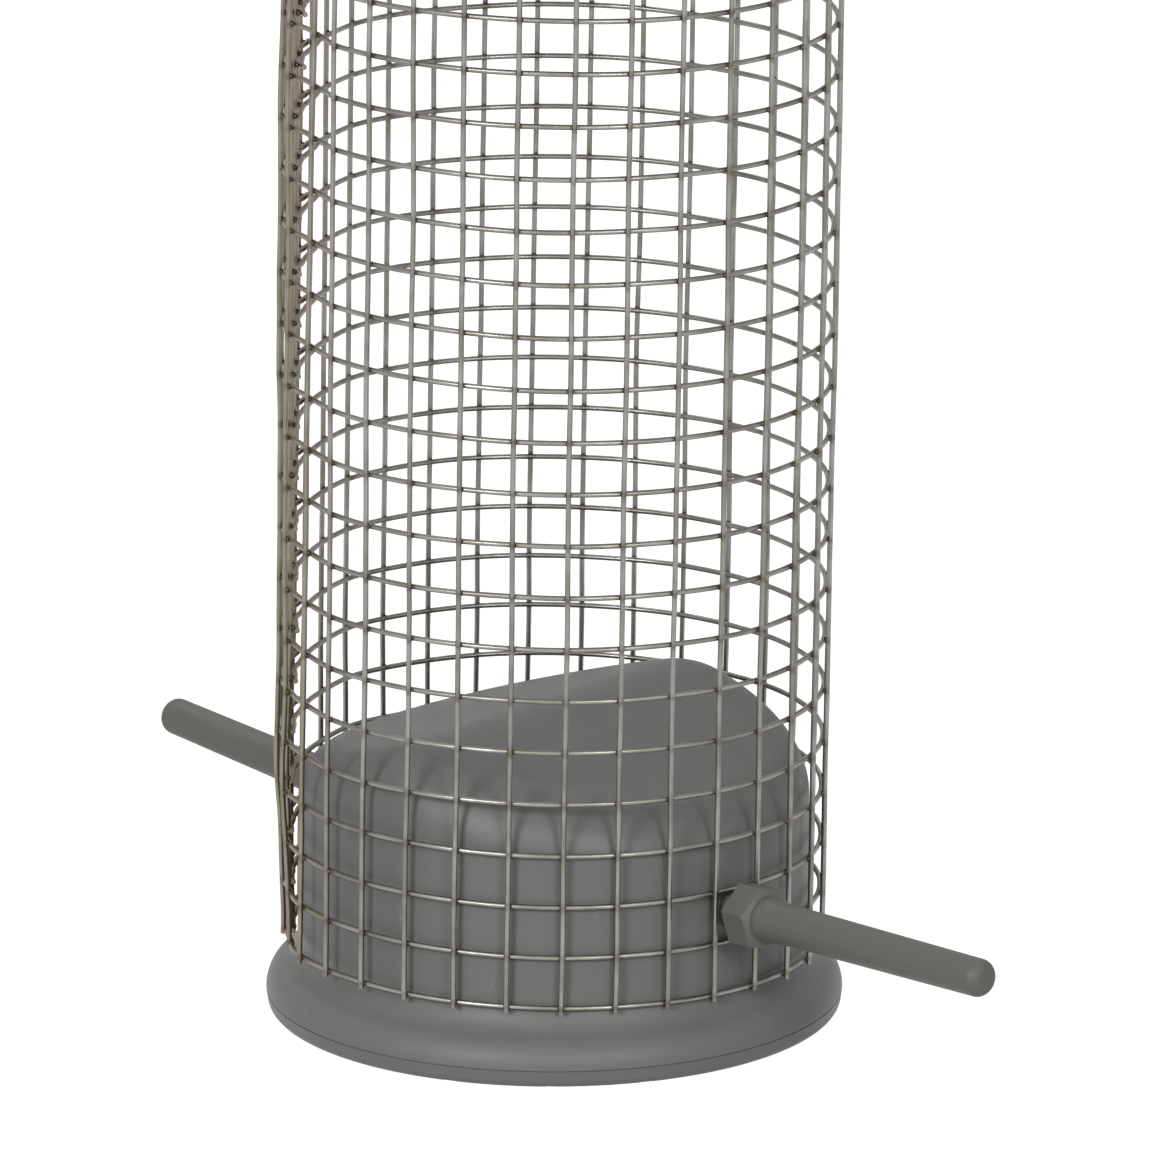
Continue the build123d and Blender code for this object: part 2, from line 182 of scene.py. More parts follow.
# %% [markdown]
# ## The world
# The world is white for rays from the camera or off a shiny surface, and a dim fill light for all
# others. One even fill would flatten the casting's rounded edges. So the fill grows from the
# horizon upwards, as in a room with a pale ceiling.

# %% World
FILL_LEVEL = 0.08
FILL_ABOVE = 0.55
WORLD_WHITE = 1.0


def studio_world():
    world = bpy.data.worlds.new("studio")
    world.use_nodes = True
    tree = world.node_tree
    tree.nodes.clear()
    way = add(tree, "ShaderNodeTexCoord").outputs["Generated"]
    rise = add(tree, "ShaderNodeSeparateXYZ", {0: way}).outputs["Z"]
    fill = add(tree, "ShaderNodeMapRange",
               {"Value": rise, "To Min": FILL_LEVEL, "To Max": FILL_ABOVE}).outputs[0]
    strength = add(tree, "ShaderNodeMapRange",
                   {"Value": seen_directly(tree), "To Min": fill, "To Max": WORLD_WHITE}).outputs[0]
    ground = add(tree, "ShaderNodeBackground", {"Strength": strength})
    output = tree.nodes.new("ShaderNodeOutputWorld")
    tree.links.new(ground.outputs[0], output.inputs["Surface"])
    bpy.context.scene.world = world


studio_world()
print("world fill from", FILL_LEVEL, "at the horizon to", FILL_ABOVE, "overhead")

# %% [markdown]
# ## The lamps
# Two softboxes stand in front, left and right, and a weak third one stands high up behind. The
# places of the front two follow from the two bright spots on every hoop: a spot lies half way
# between the camera's direction and its lamp's. The third reaches sides that those two can't.

# %% Lamps
LAMP_AWAY = 1.5
LAMPS = {
    "softbox_left": {"turn": radians(-31), "rise": radians(24), "size": 0.42, "watts": 10.5},
    "softbox_right": {"turn": radians(25), "rise": radians(24), "size": 0.42, "watts": 7},
    "softbox_behind": {"turn": radians(-150), "rise": radians(55), "size": 0.60, "watts": 3},
}


def studio_lamps():
    for name, facts in LAMPS.items():
        lamp = bpy.data.lights.new(name, "AREA")
        lamp.shape = "SQUARE"
        lamp.size = facts["size"]
        lamp.energy = facts["watts"]
        place = target + direction(CAMERA_SIDE + facts["turn"], facts["rise"]) * LAMP_AWAY
        holder = bpy.data.objects.new(name, lamp)
        holder.location = place
        holder.rotation_euler = (target - place).to_track_quat("-Z", "Y").to_euler()
        bpy.context.scene.collection.objects.link(holder)


studio_lamps()
print("lamps:", ", ".join(LAMPS))

# %% [markdown]
# ## Helpers for groups
# Each effect that repeats is a node group with named inputs, so that its sizes can be read and
# changed in one place. One helper makes the group and its sockets. Another runs a group on a
# plain seed mesh: it sets the modifier's inputs by their identifiers, which stay the same when a
# label changes, and keeps only the mesh that comes out.

# %% Group helpers
SOCKETS = {"geometry": "NodeSocketGeometry", "value": "NodeSocketFloat", "count": "NodeSocketInt",
           "vector": "NodeSocketVector", "colour": "NodeSocketColor", "material": "NodeSocketMaterial"}


def node_group(name, kind, inputs, outputs):
    """An empty group with its sockets, and its input and output nodes."""
    group = bpy.data.node_groups.new(name, kind)
    for label, socket in inputs.items():
        group.interface.new_socket(label, in_out="INPUT", socket_type=SOCKETS[socket])
    for label, socket in outputs.items():
        group.interface.new_socket(label, in_out="OUTPUT", socket_type=SOCKETS[socket])
    return group, group.nodes.new("NodeGroupInput").outputs, group.nodes.new("NodeGroupOutput")


def grown(name, seed_mesh, group, values):
    """The plain mesh that a tree grows on a seed mesh, with the modifier gone."""
    seed_object = bpy.data.objects.new(f"{name}_seed", seed_mesh)
    bpy.context.scene.collection.objects.link(seed_object)
    modifier = seed_object.modifiers.new(group.name, "NODES")
    modifier.node_group = group
    sockets = {item.name: item.identifier for item in group.interface.items_tree
               if item.in_out == "INPUT"}
    for label, value in values.items():
        modifier[sockets[label]] = value
    graph = bpy.context.evaluated_depsgraph_get()
    graph.update()
    mesh = bpy.data.meshes.new_from_object(seed_object.evaluated_get(graph), depsgraph=graph)
    mesh.name = name
    bpy.data.objects.remove(seed_object)
    piece = bpy.data.objects.new(name, mesh)
    bpy.context.scene.collection.objects.link(piece)
    triangles = sum(len(face.vertices) - 2 for face in mesh.polygons)
    print(name, "triangles", triangles)
    return piece


print("kinds of socket:", ", ".join(SOCKETS))

# %% [markdown]
# ## How the sheet of mesh is rolled
# The mesh is one flat sheet rolled up: it starts at the left behind, runs round the front, and
# ends in a short inner layer under its own start. It could be drawn as two tubes, but then the
# step between the layers would be missing. So a single function gives the radius at any column.

# %% Rolled sheet
PITCH = 6.35 * MM
ROWS = 32
COLUMNS_PER_TURN = 32
COLUMNS = 35
COLUMN_STEP = 2 * pi / COLUMNS_PER_TURN
OUTER_END_COLUMNS = 13.5
STEP_IN_COLUMNS = (29.5, 31.5)
OUTER_HOOP_R = 32.90 * MM
INNER_HOOP_R = 31.66 * MM


def column_angle(column):
    return (column - OUTER_END_COLUMNS) * COLUMN_STEP


def sheet_radius(column):
    """The hoops' radius: the outer layer, then a smooth step inwards by about two wires."""
    start, end = STEP_IN_COLUMNS
    share = min(max((column - start) / (end - start), 0), 1)
    eased = share * share * (3 - 2 * share)
    return OUTER_HOOP_R + (INNER_HOOP_R - OUTER_HOOP_R) * eased


def sheet_point(column, outwards=0):
    radius = sheet_radius(column) + outwards
    angle = column_angle(column)
    return Vector((radius * cos(angle), radius * sin(angle), 0))


print("sheet radius from", OUTER_HOOP_R, "to", INNER_HOOP_R)

# %% [markdown]
# ## How the sheet settles
# The rolled tube isn't quite true. It leans to one side, its wires wave by a few tenths of a
# millimetre, and its far side is turned a little. Low down it lies close to the drum in front and
# is squeezed at the left, where the layers lap. The lap's loose wires ripple, and slope inwards
# as they rise. Each of these could be pulled about by hand in edit mode, but then hoops and
# uprights would part at their crossings. So each is a small function that gives a movement for
# any point, and one group adds them up and moves hoops, uprights and welds alike.

# %% Values of the settled sheet
SHEET = {
    "Right": tuple(picture_right),
    "Front": tuple(towards_camera),
    "Fade From": 135 * MM,
    "Fade To": 188 * MM,
    "Lean Slope": tan(radians(0.84)),
    "Lean Pivot": 50.4 * MM,
    "Wave Height": 0.32 * MM,
    "Wave Length": 26 * MM,
    "Seed": 3.0,
    "Pinch": 0.85 * MM,
    "Pinch Top": 34 * MM,
    "Hug": 1.15 * MM,
    "Hug From": 34 * MM,
    "Hug To": 70 * MM,
    "Back Turn": radians(2.7),
    "Ripple": 0.28 * MM,
    "Lap Slope": tan(radians(0.42)),
}

# Where each movement begins and where it is full, as shares of the tube's radius.
# The first four are measured to the left, and the last three towards the camera.
PINCHED_LEFT = (0.93, 1.0)
RIPPLED_LEFT = (0.90, 0.98)
SLOPING_LEFT = (0.80, 0.91)
OFF_THE_EDGE = (0.99, 0.935)
HUGGING_FRONT = (0.1, 0.9)
TURNED_BACK = (0.34, -0.29)
SLOPING_BACK = (-0.45, -0.27)

NOISE_MIDDLE = 0.5
WAVE_GAIN = 2.0
RIPPLE_GAIN = 4.0
RIPPLES_PER_METRE = 240.0
RIPPLE_STRETCH = (1.0, 1.0, 0.2)
print("the sheet settles by", len(SHEET), "values")

# %% [markdown]
# Sums on vectors come first, then what every movement needs to know about a point. The top of
# the tube is held round by its collar, so most movements fade out towards it.

# %% Where a point of the sheet lies
def vector_math(tree, operation, *values, output=0):
    node = add(tree, "ShaderNodeVectorMath", dict(enumerate(values)), operation=operation)
    return node.outputs[output]


def scaled(tree, vector, amount):
    return add(tree, "ShaderNodeVectorMath", {0: vector, "Scale": amount},
               operation="SCALE").outputs[0]


def ramp(tree, value, start, end):
    """Rises smoothly from nothing to one while the value goes from start to end."""
    return add(tree, "ShaderNodeMapRange", {"Value": value, "From Min": start, "From Max": end},
               interpolation_type="SMOOTHSTEP").outputs[0]


def noise(tree, vector, per_metre, detail, roughness=0.5):
    """Soft chance values around a half, with so many patches to the metre."""
    return add(tree, "ShaderNodeTexNoise",
               {"Vector": vector, "Scale": per_metre, "Detail": detail,
                "Roughness": roughness}).outputs["Fac"]


def whereabouts(tree, given):
    """A point's place and height, how far left and how far in front it is, and the fade."""
    place = add(tree, "GeometryNodeInputPosition").outputs[0]
    height = add(tree, "ShaderNodeSeparateXYZ", {0: place}).outputs["Z"]
    sideways = vector_math(tree, "DOT_PRODUCT", place, given["Right"], output="Value")
    level = vector_math(tree, "MULTIPLY", place, (1, 1, 0))
    forwards = vector_math(tree, "DOT_PRODUCT", level, given["Front"], output="Value")
    return {"place": place, "height": height, "sideways": sideways,
            "left": math(tree, "DIVIDE", sideways, -OUTER_HOOP_R),
            "front": math(tree, "DIVIDE", forwards, OUTER_HOOP_R),
            "fade": ramp(tree, height, given["Fade To"], given["Fade From"])}


print("zones to the left:", PINCHED_LEFT, RIPPLED_LEFT, SLOPING_LEFT, OFF_THE_EDGE)

# %% [markdown]
# Two of the next movements act on the whole tube, and one on its far side. A lean moves each
# point sideways by its height, and sinks one side as it lifts the other, so that the crossings
# stay square.

# %% Movements of the tube and of its far side
def lean(tree, given, here):
    slope = product(tree, given["Lean Slope"], here["fade"])
    above = math(tree, "SUBTRACT", here["height"], given["Lean Pivot"])
    over = scaled(tree, given["Right"], product(tree, above, slope))
    drop = product(tree, here["sideways"], slope, -1.0)
    down = add(tree, "ShaderNodeCombineXYZ", {"Z": drop}).outputs[0]
    return vector_math(tree, "ADD", over, down)


def wave(tree, given, here):
    """Every wire wanders a little. The noise has four dimensions, so a seed can change it."""
    chance = add(tree, "ShaderNodeTexNoise",
                 {"Vector": here["place"], "W": given["Seed"], "Detail": 1.0,
                  "Scale": math(tree, "DIVIDE", 1.0, given["Wave Length"])}, noise_dimensions="4D")
    centred = vector_math(tree, "SUBTRACT", chance.outputs["Color"], (NOISE_MIDDLE,) * 3)
    return scaled(tree, centred, product(tree, given["Wave Height"], WAVE_GAIN, here["fade"]))


def back_turn(tree, given, here):
    """The far side is turned about the axis, as the uprights seen through the tube show."""
    behind = ramp(tree, here["front"], *TURNED_BACK)
    angle = product(tree, behind, given["Back Turn"], here["fade"])
    turned = add(tree, "ShaderNodeVectorRotate", {"Vector": here["place"], "Angle": angle},
                 rotation_type="Z_AXIS").outputs[0]
    return vector_math(tree, "SUBTRACT", turned, here["place"])


print("the whole tube leans by", SHEET["Lean Slope"], "metres a metre")

# %% [markdown]
# These movements act on one part each: the front near the drum, and the lap at the left.

# %% Movements near the drum and at the lap
def pinch(tree, given, here):
    """The foot of the lap is squeezed towards the axis."""
    beside = ramp(tree, here["left"], *PINCHED_LEFT)
    low = ramp(tree, here["height"], given["Pinch Top"], MESH_FOOT)
    return scaled(tree, given["Right"], product(tree, beside, low, given["Pinch"]))


def hug(tree, given, here):
    """The front lies close to the drum low down, and comes away from it higher up."""
    before = ramp(tree, here["front"], *HUGGING_FRONT)
    low = ramp(tree, here["height"], given["Hug To"], given["Hug From"])
    return scaled(tree, given["Front"], product(tree, before, low, given["Hug"], -1.0))


def ripple(tree, given, here):
    """Each loose wire of the lap goes its own way, over a length of about three rows."""
    stretched = vector_math(tree, "MULTIPLY", here["place"], RIPPLE_STRETCH)
    chance = noise(tree, stretched, RIPPLES_PER_METRE, detail=1.0)
    own_way = math(tree, "SUBTRACT", chance, NOISE_MIDDLE)
    beside = ramp(tree, here["left"], *RIPPLED_LEFT)
    amount = product(tree, own_way, beside, here["fade"], given["Ripple"], -RIPPLE_GAIN)
    return scaled(tree, given["Right"], amount)


def lap_slope(tree, given, here):
    """The lap's layer behind slopes inwards as it rises, but not at the tube's very edge."""
    beside = ramp(tree, here["left"], *SLOPING_LEFT)
    off_the_edge = ramp(tree, here["left"], *OFF_THE_EDGE)
    layered = ramp(tree, here["front"], *SLOPING_BACK)
    inwards = product(tree, here["height"], given["Lap Slope"], beside, off_the_edge, layered,
                      here["fade"])
    return scaled(tree, given["Right"], inwards)


print("the lap is squeezed by", SHEET["Pinch"], "and ripples by", SHEET["Ripple"])

# %% [markdown]
# The group reads every point where it lies before any movement, adds the movements up and moves
# the point once, so that no movement changes what another one reads.

# %% The group that settles the sheet
MOVEMENTS = (back_turn, lean, wave, pinch, hug, ripple, lap_slope)


def settled_sheet_group():
    kinds = {label: "vector" if isinstance(value, tuple) else "value"
             for label, value in SHEET.items()}
    group, given, result = node_group("Settled sheet", "GeometryNodeTree",
                                      {"Geometry": "geometry", **kinds}, {"Geometry": "geometry"})
    here = whereabouts(group, given)
    total, *others = [movement(group, given, here) for movement in MOVEMENTS]
    for other in others:
        total = vector_math(group, "ADD", total, other)
    moved = add(group, "GeometryNodeSetPosition", {"Geometry": given["Geometry"], "Offset": total})
    group.links.new(moved.outputs[0], result.inputs[0])
    return group


SETTLED = settled_sheet_group()


def settled(tree, geometry):
    """Puts the settled sheet group in a tree, with this sheet's values."""
    return add(tree, "GeometryNodeGroup", {"Geometry": geometry, **SHEET},
               node_tree=SETTLED).outputs[0]


print("movements:", ", ".join(movement.__name__ for movement in MOVEMENTS))

# %% [markdown]
# ## What the wires share
# A wire could be a cylinder bent by hand, but there are 67 of them. In a tree, a line becomes a
# curve, is trimmed by a little chance at its ends as a shear leaves them, and is swept with a
# round section. Each wire also stores how far every point lies from its nearest weld, which the
# finish reads for its heat marks.

# %% Wire helpers
WIRE_R = 0.33 * MM
WIRE_SIDES = 8
POINTS_PER_CELL = 8
HALF_CELL = 0.5


def live_output(node):
    """The output in use of a node that holds one for each kind of value."""
    return [socket for socket in node.outputs if socket.enabled][0]


def upwards(tree, height):
    return add(tree, "ShaderNodeCombineXYZ", {"Z": height}).outputs[0]


def random_trim(tree, curve, spread, seed):
    """Cuts each wire's two ends back by different chance lengths."""
    start, end = [live_output(add(tree, "FunctionNodeRandomValue", {"Max": spread, "Seed": number},
                                  data_type="FLOAT")) for number in (seed, seed + 1)]
    length = add(tree, "GeometryNodeSplineLength").outputs["Length"]
    trim = add(tree, "GeometryNodeTrimCurve", mode="LENGTH")
    starts = [socket for socket in trim.inputs if socket.name == "Start"]
    ends = [socket for socket in trim.inputs if socket.name == "End"]
    tree.links.new(curve, trim.inputs["Curve"])
    tree.links.new(start, starts[-1])
    tree.links.new(math(tree, "SUBTRACT", length, end), ends[-1])
    return trim.outputs[0]


def from_nearest(tree, cells):
    """Distance in cells from the nearest weld, where welds fall on whole numbers."""
    into_cell = math(tree, "FRACT", math(tree, "ADD", cells, HALF_CELL))
    return math(tree, "ABSOLUTE", math(tree, "SUBTRACT", into_cell, HALF_CELL))


def finished(tree, geometry, finish):
    """Shades it smooth, makes its instances real for the export, and gives it its finish."""
    smooth = add(tree, "GeometryNodeSetShadeSmooth", {"Geometry": geometry}).outputs[0]
    plain = add(tree, "GeometryNodeRealizeInstances", {"Geometry": smooth}).outputs[0]
    return add(tree, "GeometryNodeSetMaterial", {"Geometry": plain, "Material": finish}).outputs[0]


def swept_wires(tree, curves, given, weld_distance):
    """Stores the weld distance, settles the wires and sweeps them."""
    marked = add(tree, "GeometryNodeStoreNamedAttribute",
                 {"Geometry": curves, "Name": "from_weld", "Value": weld_distance},
                 data_type="FLOAT", domain="POINT").outputs[0]
    section = add(tree, "GeometryNodeCurvePrimitiveCircle",
                  {"Resolution": given["Sides"], "Radius": given["Wire Radius"]}).outputs[0]
    swept = add(tree, "GeometryNodeCurveToMesh",
                {"Curve": settled(tree, marked), "Profile Curve": section,
                 "Fill Caps": True}).outputs[0]
    return finished(tree, swept, given["Finish"])


print("wire", 2 * WIRE_R, "m thick with", WIRE_SIDES, "sides")

# %% [markdown]
# ## Hoops
# Every hoop is the same bent wire at another height. So the tree takes its path once, sets it on
# a point for each row, and works out the distance to the nearest upright from the angle.

# %% Hoops tree
HOOP_TRIM_SEED = 11


def rows_of_points(tree, given):
    """One point for each row of hoops, up the axis."""
    return add(tree, "GeometryNodeMeshLine",
               {"Count": given["Rows"], "Start Location": upwards(tree, given["Lowest"]),
                "Offset": upwards(tree, given["Pitch"])}).outputs[0]


def hoops_group():
    tree, given, result = node_group(
        "Hoops", "GeometryNodeTree",
        {"Path": "geometry", "Rows": "count", "Lowest": "value", "Pitch": "value",
         "Wire Radius": "value", "Sides": "count", "Stub Spread": "value", "Finish": "material"},
        {"Geometry": "geometry"})
    line = add(tree, "GeometryNodeMeshToCurve", {"Mesh": given["Path"]}).outputs[0]
    placed = add(tree, "GeometryNodeInstanceOnPoints",
                 {"Points": rows_of_points(tree, given), "Instance": line}).outputs[0]
    wires = add(tree, "GeometryNodeRealizeInstances", {"Geometry": placed}).outputs[0]
    trimmed = random_trim(tree, wires, given["Stub Spread"], HOOP_TRIM_SEED)
    place = add(tree, "GeometryNodeInputPosition").outputs[0]
    parts = add(tree, "ShaderNodeSeparateXYZ", {0: place}).outputs
    angle = math(tree, "ARCTAN2", parts["Y"], parts["X"])
    cells = math(tree, "SUBTRACT", math(tree, "DIVIDE", angle, COLUMN_STEP), HALF_CELL)
    distance = product(tree, from_nearest(tree, cells), COLUMN_STEP * OUTER_HOOP_R)
    tree.links.new(swept_wires(tree, trimmed, given, distance), result.inputs[0])
    return tree


HOOPS = hoops_group()
print("tree made:", HOOPS.name)

# %% [markdown]
# ## Uprights
# Every upright is the same straight wire at another column. It has many points along it, because
# a line with only two ends couldn't wave.

# %% Uprights tree
UPRIGHT_TRIM_SEED = 23


def uprights_group():
    tree, given, result = node_group(
        "Uprights", "GeometryNodeTree",
        {"Columns": "geometry", "Low": "value", "High": "value", "Steps": "count",
         "Lowest Hoop": "value", "Pitch": "value", "Wire Radius": "value", "Sides": "count",
         "Stub Spread": "value", "Finish": "material"},
        {"Geometry": "geometry"})
    line = add(tree, "GeometryNodeMeshLine",
               {"Count": given["Steps"], "Start Location": upwards(tree, given["Low"]),
                "Offset": upwards(tree, given["High"])}, mode="END_POINTS").outputs[0]
    curve = add(tree, "GeometryNodeMeshToCurve", {"Mesh": line}).outputs[0]
    placed = add(tree, "GeometryNodeInstanceOnPoints",
                 {"Points": given["Columns"], "Instance": curve}).outputs[0]
    wires = add(tree, "GeometryNodeRealizeInstances", {"Geometry": placed}).outputs[0]
    trimmed = random_trim(tree, wires, given["Stub Spread"], UPRIGHT_TRIM_SEED)
    place = add(tree, "GeometryNodeInputPosition").outputs[0]
    height = add(tree, "ShaderNodeSeparateXYZ", {0: place}).outputs["Z"]
    above = math(tree, "SUBTRACT", height, given["Lowest Hoop"])
    cells = math(tree, "DIVIDE", above, given["Pitch"])
    distance = product(tree, from_nearest(tree, cells), given["Pitch"])
    tree.links.new(swept_wires(tree, trimmed, given, distance), result.inputs[0])
    return tree


UPRIGHTS = uprights_group()
print("tree made:", UPRIGHTS.name)

# %% [markdown]
# ## Welds
# Where two wires were pressed together under current, a small bead is squeezed out. Its dark
# colour is partly the weld's heat tint and partly painted shade for the crevice where the wires
# cross. There are over a thousand crossings, so each bead is a squashed sphere of few faces. The
# beads settle as points, before the spheres are set on them, so that they keep their own shape.

# %% Welds tree
BEAD_SEED = 5
BEAD_SEGMENTS = 8
BEAD_RINGS = 5


def welds_group():
    tree, given, result = node_group(
        "Welds", "GeometryNodeTree",
        {"Columns": "geometry", "Rows": "count", "Lowest": "value", "Pitch": "value",
         "Bead Size": "vector", "Size Spread": "value", "Finish": "material"},
        {"Geometry": "geometry"})
    crossings = add(tree, "GeometryNodeInstanceOnPoints",
                    {"Points": given["Columns"], "Instance": rows_of_points(tree, given)}).outputs[0]
    real = add(tree, "GeometryNodeRealizeInstances", {"Geometry": crossings}).outputs[0]
    points = settled(tree, real)
    place = add(tree, "GeometryNodeInputPosition").outputs[0]
    outwards = vector_math(tree, "MULTIPLY", place, (1, 1, 0))
    facing = add(tree, "FunctionNodeAlignRotationToVector", {"Vector": outwards}, axis="X").outputs[0]
    chance = live_output(add(tree, "FunctionNodeRandomValue",
                             {"Min": math(tree, "SUBTRACT", 1.0, given["Size Spread"]),
                              "Max": math(tree, "ADD", 1.0, given["Size Spread"]),
                              "Seed": BEAD_SEED}, data_type="FLOAT"))
    size = scaled(tree, given["Bead Size"], chance)
    bead = add(tree, "GeometryNodeMeshUVSphere",
               {"Segments": BEAD_SEGMENTS, "Rings": BEAD_RINGS, "Radius": 1.0}).outputs[0]
    placed = add(tree, "GeometryNodeInstanceOnPoints",
                 {"Points": points, "Instance": bead, "Rotation": facing, "Scale": size}).outputs[0]
    tree.links.new(finished(tree, placed, given["Finish"]), result.inputs[0])
    return tree


WELDS = welds_group()
print("tree made:", WELDS.name)

# %% [markdown]
# ## The coat of a casting
# Powder coat on a casting has a fine grain, a faint mottling and a few light scuffs. A picture of
# such a coat would show its pixels from near by, so three layers of noise are mixed instead. The
# scuffs come from stretched noise, of which only the peaks are kept.

# %% Coated casting effect
MIX_FIRST = 6
MIX_SECOND = 7
MIX_RESULT = 2
MOTTLES_PER_METRE = 90.0
GRAINS_PER_METRE = 2600.0
GRAIN_SHARE = 0.8
SCUFFS_PER_METRE = 260.0
SCUFF_TURN = (0.4, 0.9, 0.6)
SCUFF_STRETCH = (1.0, 9.0, 1.0)
SCUFF_PEAKS = (0.70, 0.78)
SCUFF_COLOUR = (0.33, 0.33, 0.32, 1)
SCUFF_SMOOTHER = 0.1
SCUFF_DEPTH = 0.6
COAT_ROUGHNESS = 0.50
COAT_ROUGHNESS_SWING = 0.12


def mixed(tree, share, first, second):
    """The first colour with a share of the second, by the Mix node's sockets for colours."""
    node = add(tree, "ShaderNodeMix", {"Factor": share, MIX_FIRST: first, MIX_SECOND: second},
               data_type="RGBA")
    return node.outputs[MIX_RESULT]


def between(tree, value, start, end):
    """Rises evenly from nothing to one while the value goes from start to end."""
    return add(tree, "ShaderNodeMapRange",
               {"Value": value, "From Min": start, "From Max": end}).outputs[0]


def coat_group():
    group, given, result = node_group(
        "Coated casting", "ShaderNodeTree",
        {"Vector": "vector", "Colour": "colour", "Mottle": "value", "Scuffs": "value"},
        {"Colour": "colour", "Roughness": "value", "Height": "value"})
    broad = noise(group, given["Vector"], MOTTLES_PER_METRE, detail=3.0)
    fine = noise(group, given["Vector"], GRAINS_PER_METRE, detail=3.0)
    centred = math(group, "SUBTRACT", broad, NOISE_MIDDLE)
    speck = math(group, "SUBTRACT", fine, NOISE_MIDDLE)
    tone = math(group, "MULTIPLY_ADD", centred, given["Mottle"], 1.0)
    tone = math(group, "MULTIPLY_ADD", speck, product(group, given["Mottle"], GRAIN_SHARE), tone)
    coated = scaled(group, given["Colour"], tone)
    stretched = add(group, "ShaderNodeMapping", {"Vector": given["Vector"], "Rotation": SCUFF_TURN,
                                                 "Scale": SCUFF_STRETCH}).outputs[0]
    lines = noise(group, stretched, SCUFFS_PER_METRE, detail=2.0, roughness=0.7)
    scuff = product(group, between(group, lines, *SCUFF_PEAKS), given["Scuffs"])
    rough = math(group, "MULTIPLY_ADD", centred, COAT_ROUGHNESS_SWING, COAT_ROUGHNESS)
    smoother = math(group, "SUBTRACT", rough, product(group, scuff, SCUFF_SMOOTHER))
    height = math(group, "SUBTRACT", fine, product(group, scuff, SCUFF_DEPTH))
    group.links.new(mixed(group, scuff, coated, SCUFF_COLOUR), result.inputs["Colour"])
    group.links.new(smoother, result.inputs["Roughness"])
    group.links.new(height, result.inputs["Height"])
    return group


COAT = coat_group()
print("effect made:", COAT.name)

# %% [markdown]
# ## Drawn steel
# Drawn wire is never evenly bright: it has a dull skin in blotches, and a fine grain. The blotch
# size is an input, because blotches follow the thickness of the piece.

# %% Drawn steel effect
STEEL_GRAINS_PER_METRE = 3200.0
BLOTCH_EDGES = (0.35, 0.65)
STEEL_ROUGHNESS = 0.30
DULL_ROUGHER = 0.10


def steel_group():
    group, given, result = node_group(
        "Drawn steel", "ShaderNodeTree",
        {"Vector": "vector", "Clean": "colour", "Dull": "colour", "Blotch Size": "value"},
        {"Colour": "colour", "Roughness": "value", "Height": "value"})
    per_metre = math(group, "DIVIDE", 1.0, given["Blotch Size"])
    blotch = noise(group, given["Vector"], per_metre, detail=3.0)
    share = between(group, blotch, *BLOTCH_EDGES)
    rough = math(group, "MULTIPLY_ADD", share, DULL_ROUGHER, STEEL_ROUGHNESS)
    fine = noise(group, given["Vector"], STEEL_GRAINS_PER_METRE, detail=2.0)
    group.links.new(mixed(group, share, given["Clean"], given["Dull"]), result.inputs["Colour"])
    group.links.new(rough, result.inputs["Roughness"])
    group.links.new(fine, result.inputs["Height"])
    return group


STEEL = steel_group()
print("effect made:", STEEL.name)

# %% [markdown]
# ## The heat of a weld
# A weld browns the wire beside it, and the brown fades with distance. The distance comes from the
# attribute that the wire trees stored. Noise is added to it, so that the mark's edge is ragged.
# Where the mark is full and where it ends are given as shares of its reach.

# %% Weld heat effect
HEAT_BLOTCHES_PER_METRE = 420.0
HEAT_ENDS_AT = 1.4
HEAT_FULL_AT = 0.5


def heat_group():
    group, given, result = node_group(
        "Weld heat", "ShaderNodeTree",
        {"Vector": "vector", "Distance": "value", "Reach": "value", "Strength": "value"},
        {"Mask": "value"})
    blotch = noise(group, given["Vector"], HEAT_BLOTCHES_PER_METRE, detail=2.0)
    ragged = math(group, "MULTIPLY_ADD", blotch, given["Reach"], given["Distance"])
    near = between(group, ragged, product(group, given["Reach"], HEAT_ENDS_AT),
                   product(group, given["Reach"], HEAT_FULL_AT))
    group.links.new(product(group, near, given["Strength"]), result.inputs["Mask"])
    return group


HEAT = heat_group()
print("effect made:", HEAT.name)

# %% [markdown]
# ## Coated finishes
# The castings, perches and bushes share the coat, each with its own colour. The perches are
# slightly olive and less shiny than the castings, and the bushes are plain black plastic with
# hardly a scuff. A Bump node turns the effect's height into fine relief, because relief of a
# tenth of a millimetre needs no geometry.

# %% Coated finishes
COAT_BUMP = {"Strength": 0.12, "Distance": 0.1 * MM}


def add_skin(tree, output, effect, colour, bump, more):
    """The surface itself, with the effect's roughness and relief."""
    relief = add(tree, "ShaderNodeBump", {"Height": effect.outputs["Height"], **bump}).outputs[0]
    skin = add(tree, "ShaderNodeBsdfPrincipled",
               {"Base Color": colour, "Roughness": effect.outputs["Roughness"], "Normal": relief,
                **more})
    tree.links.new(skin.outputs[0], output.inputs["Surface"])


def coated_casting(name, colour, mottle=0.10, scuffs=0.35, specular=0.5):
    material, tree, output = fresh_material(name)
    place = add(tree, "ShaderNodeTexCoord").outputs["Object"]
    coat = add(tree, "ShaderNodeGroup",
               {"Vector": place, "Colour": (*colour, 1), "Mottle": mottle, "Scuffs": scuffs},
               node_tree=COAT)
    add_skin(tree, output, coat, coat.outputs["Colour"], COAT_BUMP, {"Specular IOR Level": specular})
    return material


casting_grey = coated_casting("casting_grey", (0.150, 0.150, 0.148))
perch_grey = coated_casting("perch_grey", (0.135, 0.138, 0.125), specular=0.35)
bush_black = coated_casting("bush_black", (0.020, 0.020, 0.021), scuffs=0.1)
print("coated finishes:", casting_grey.name, perch_grey.name, bush_black.name)
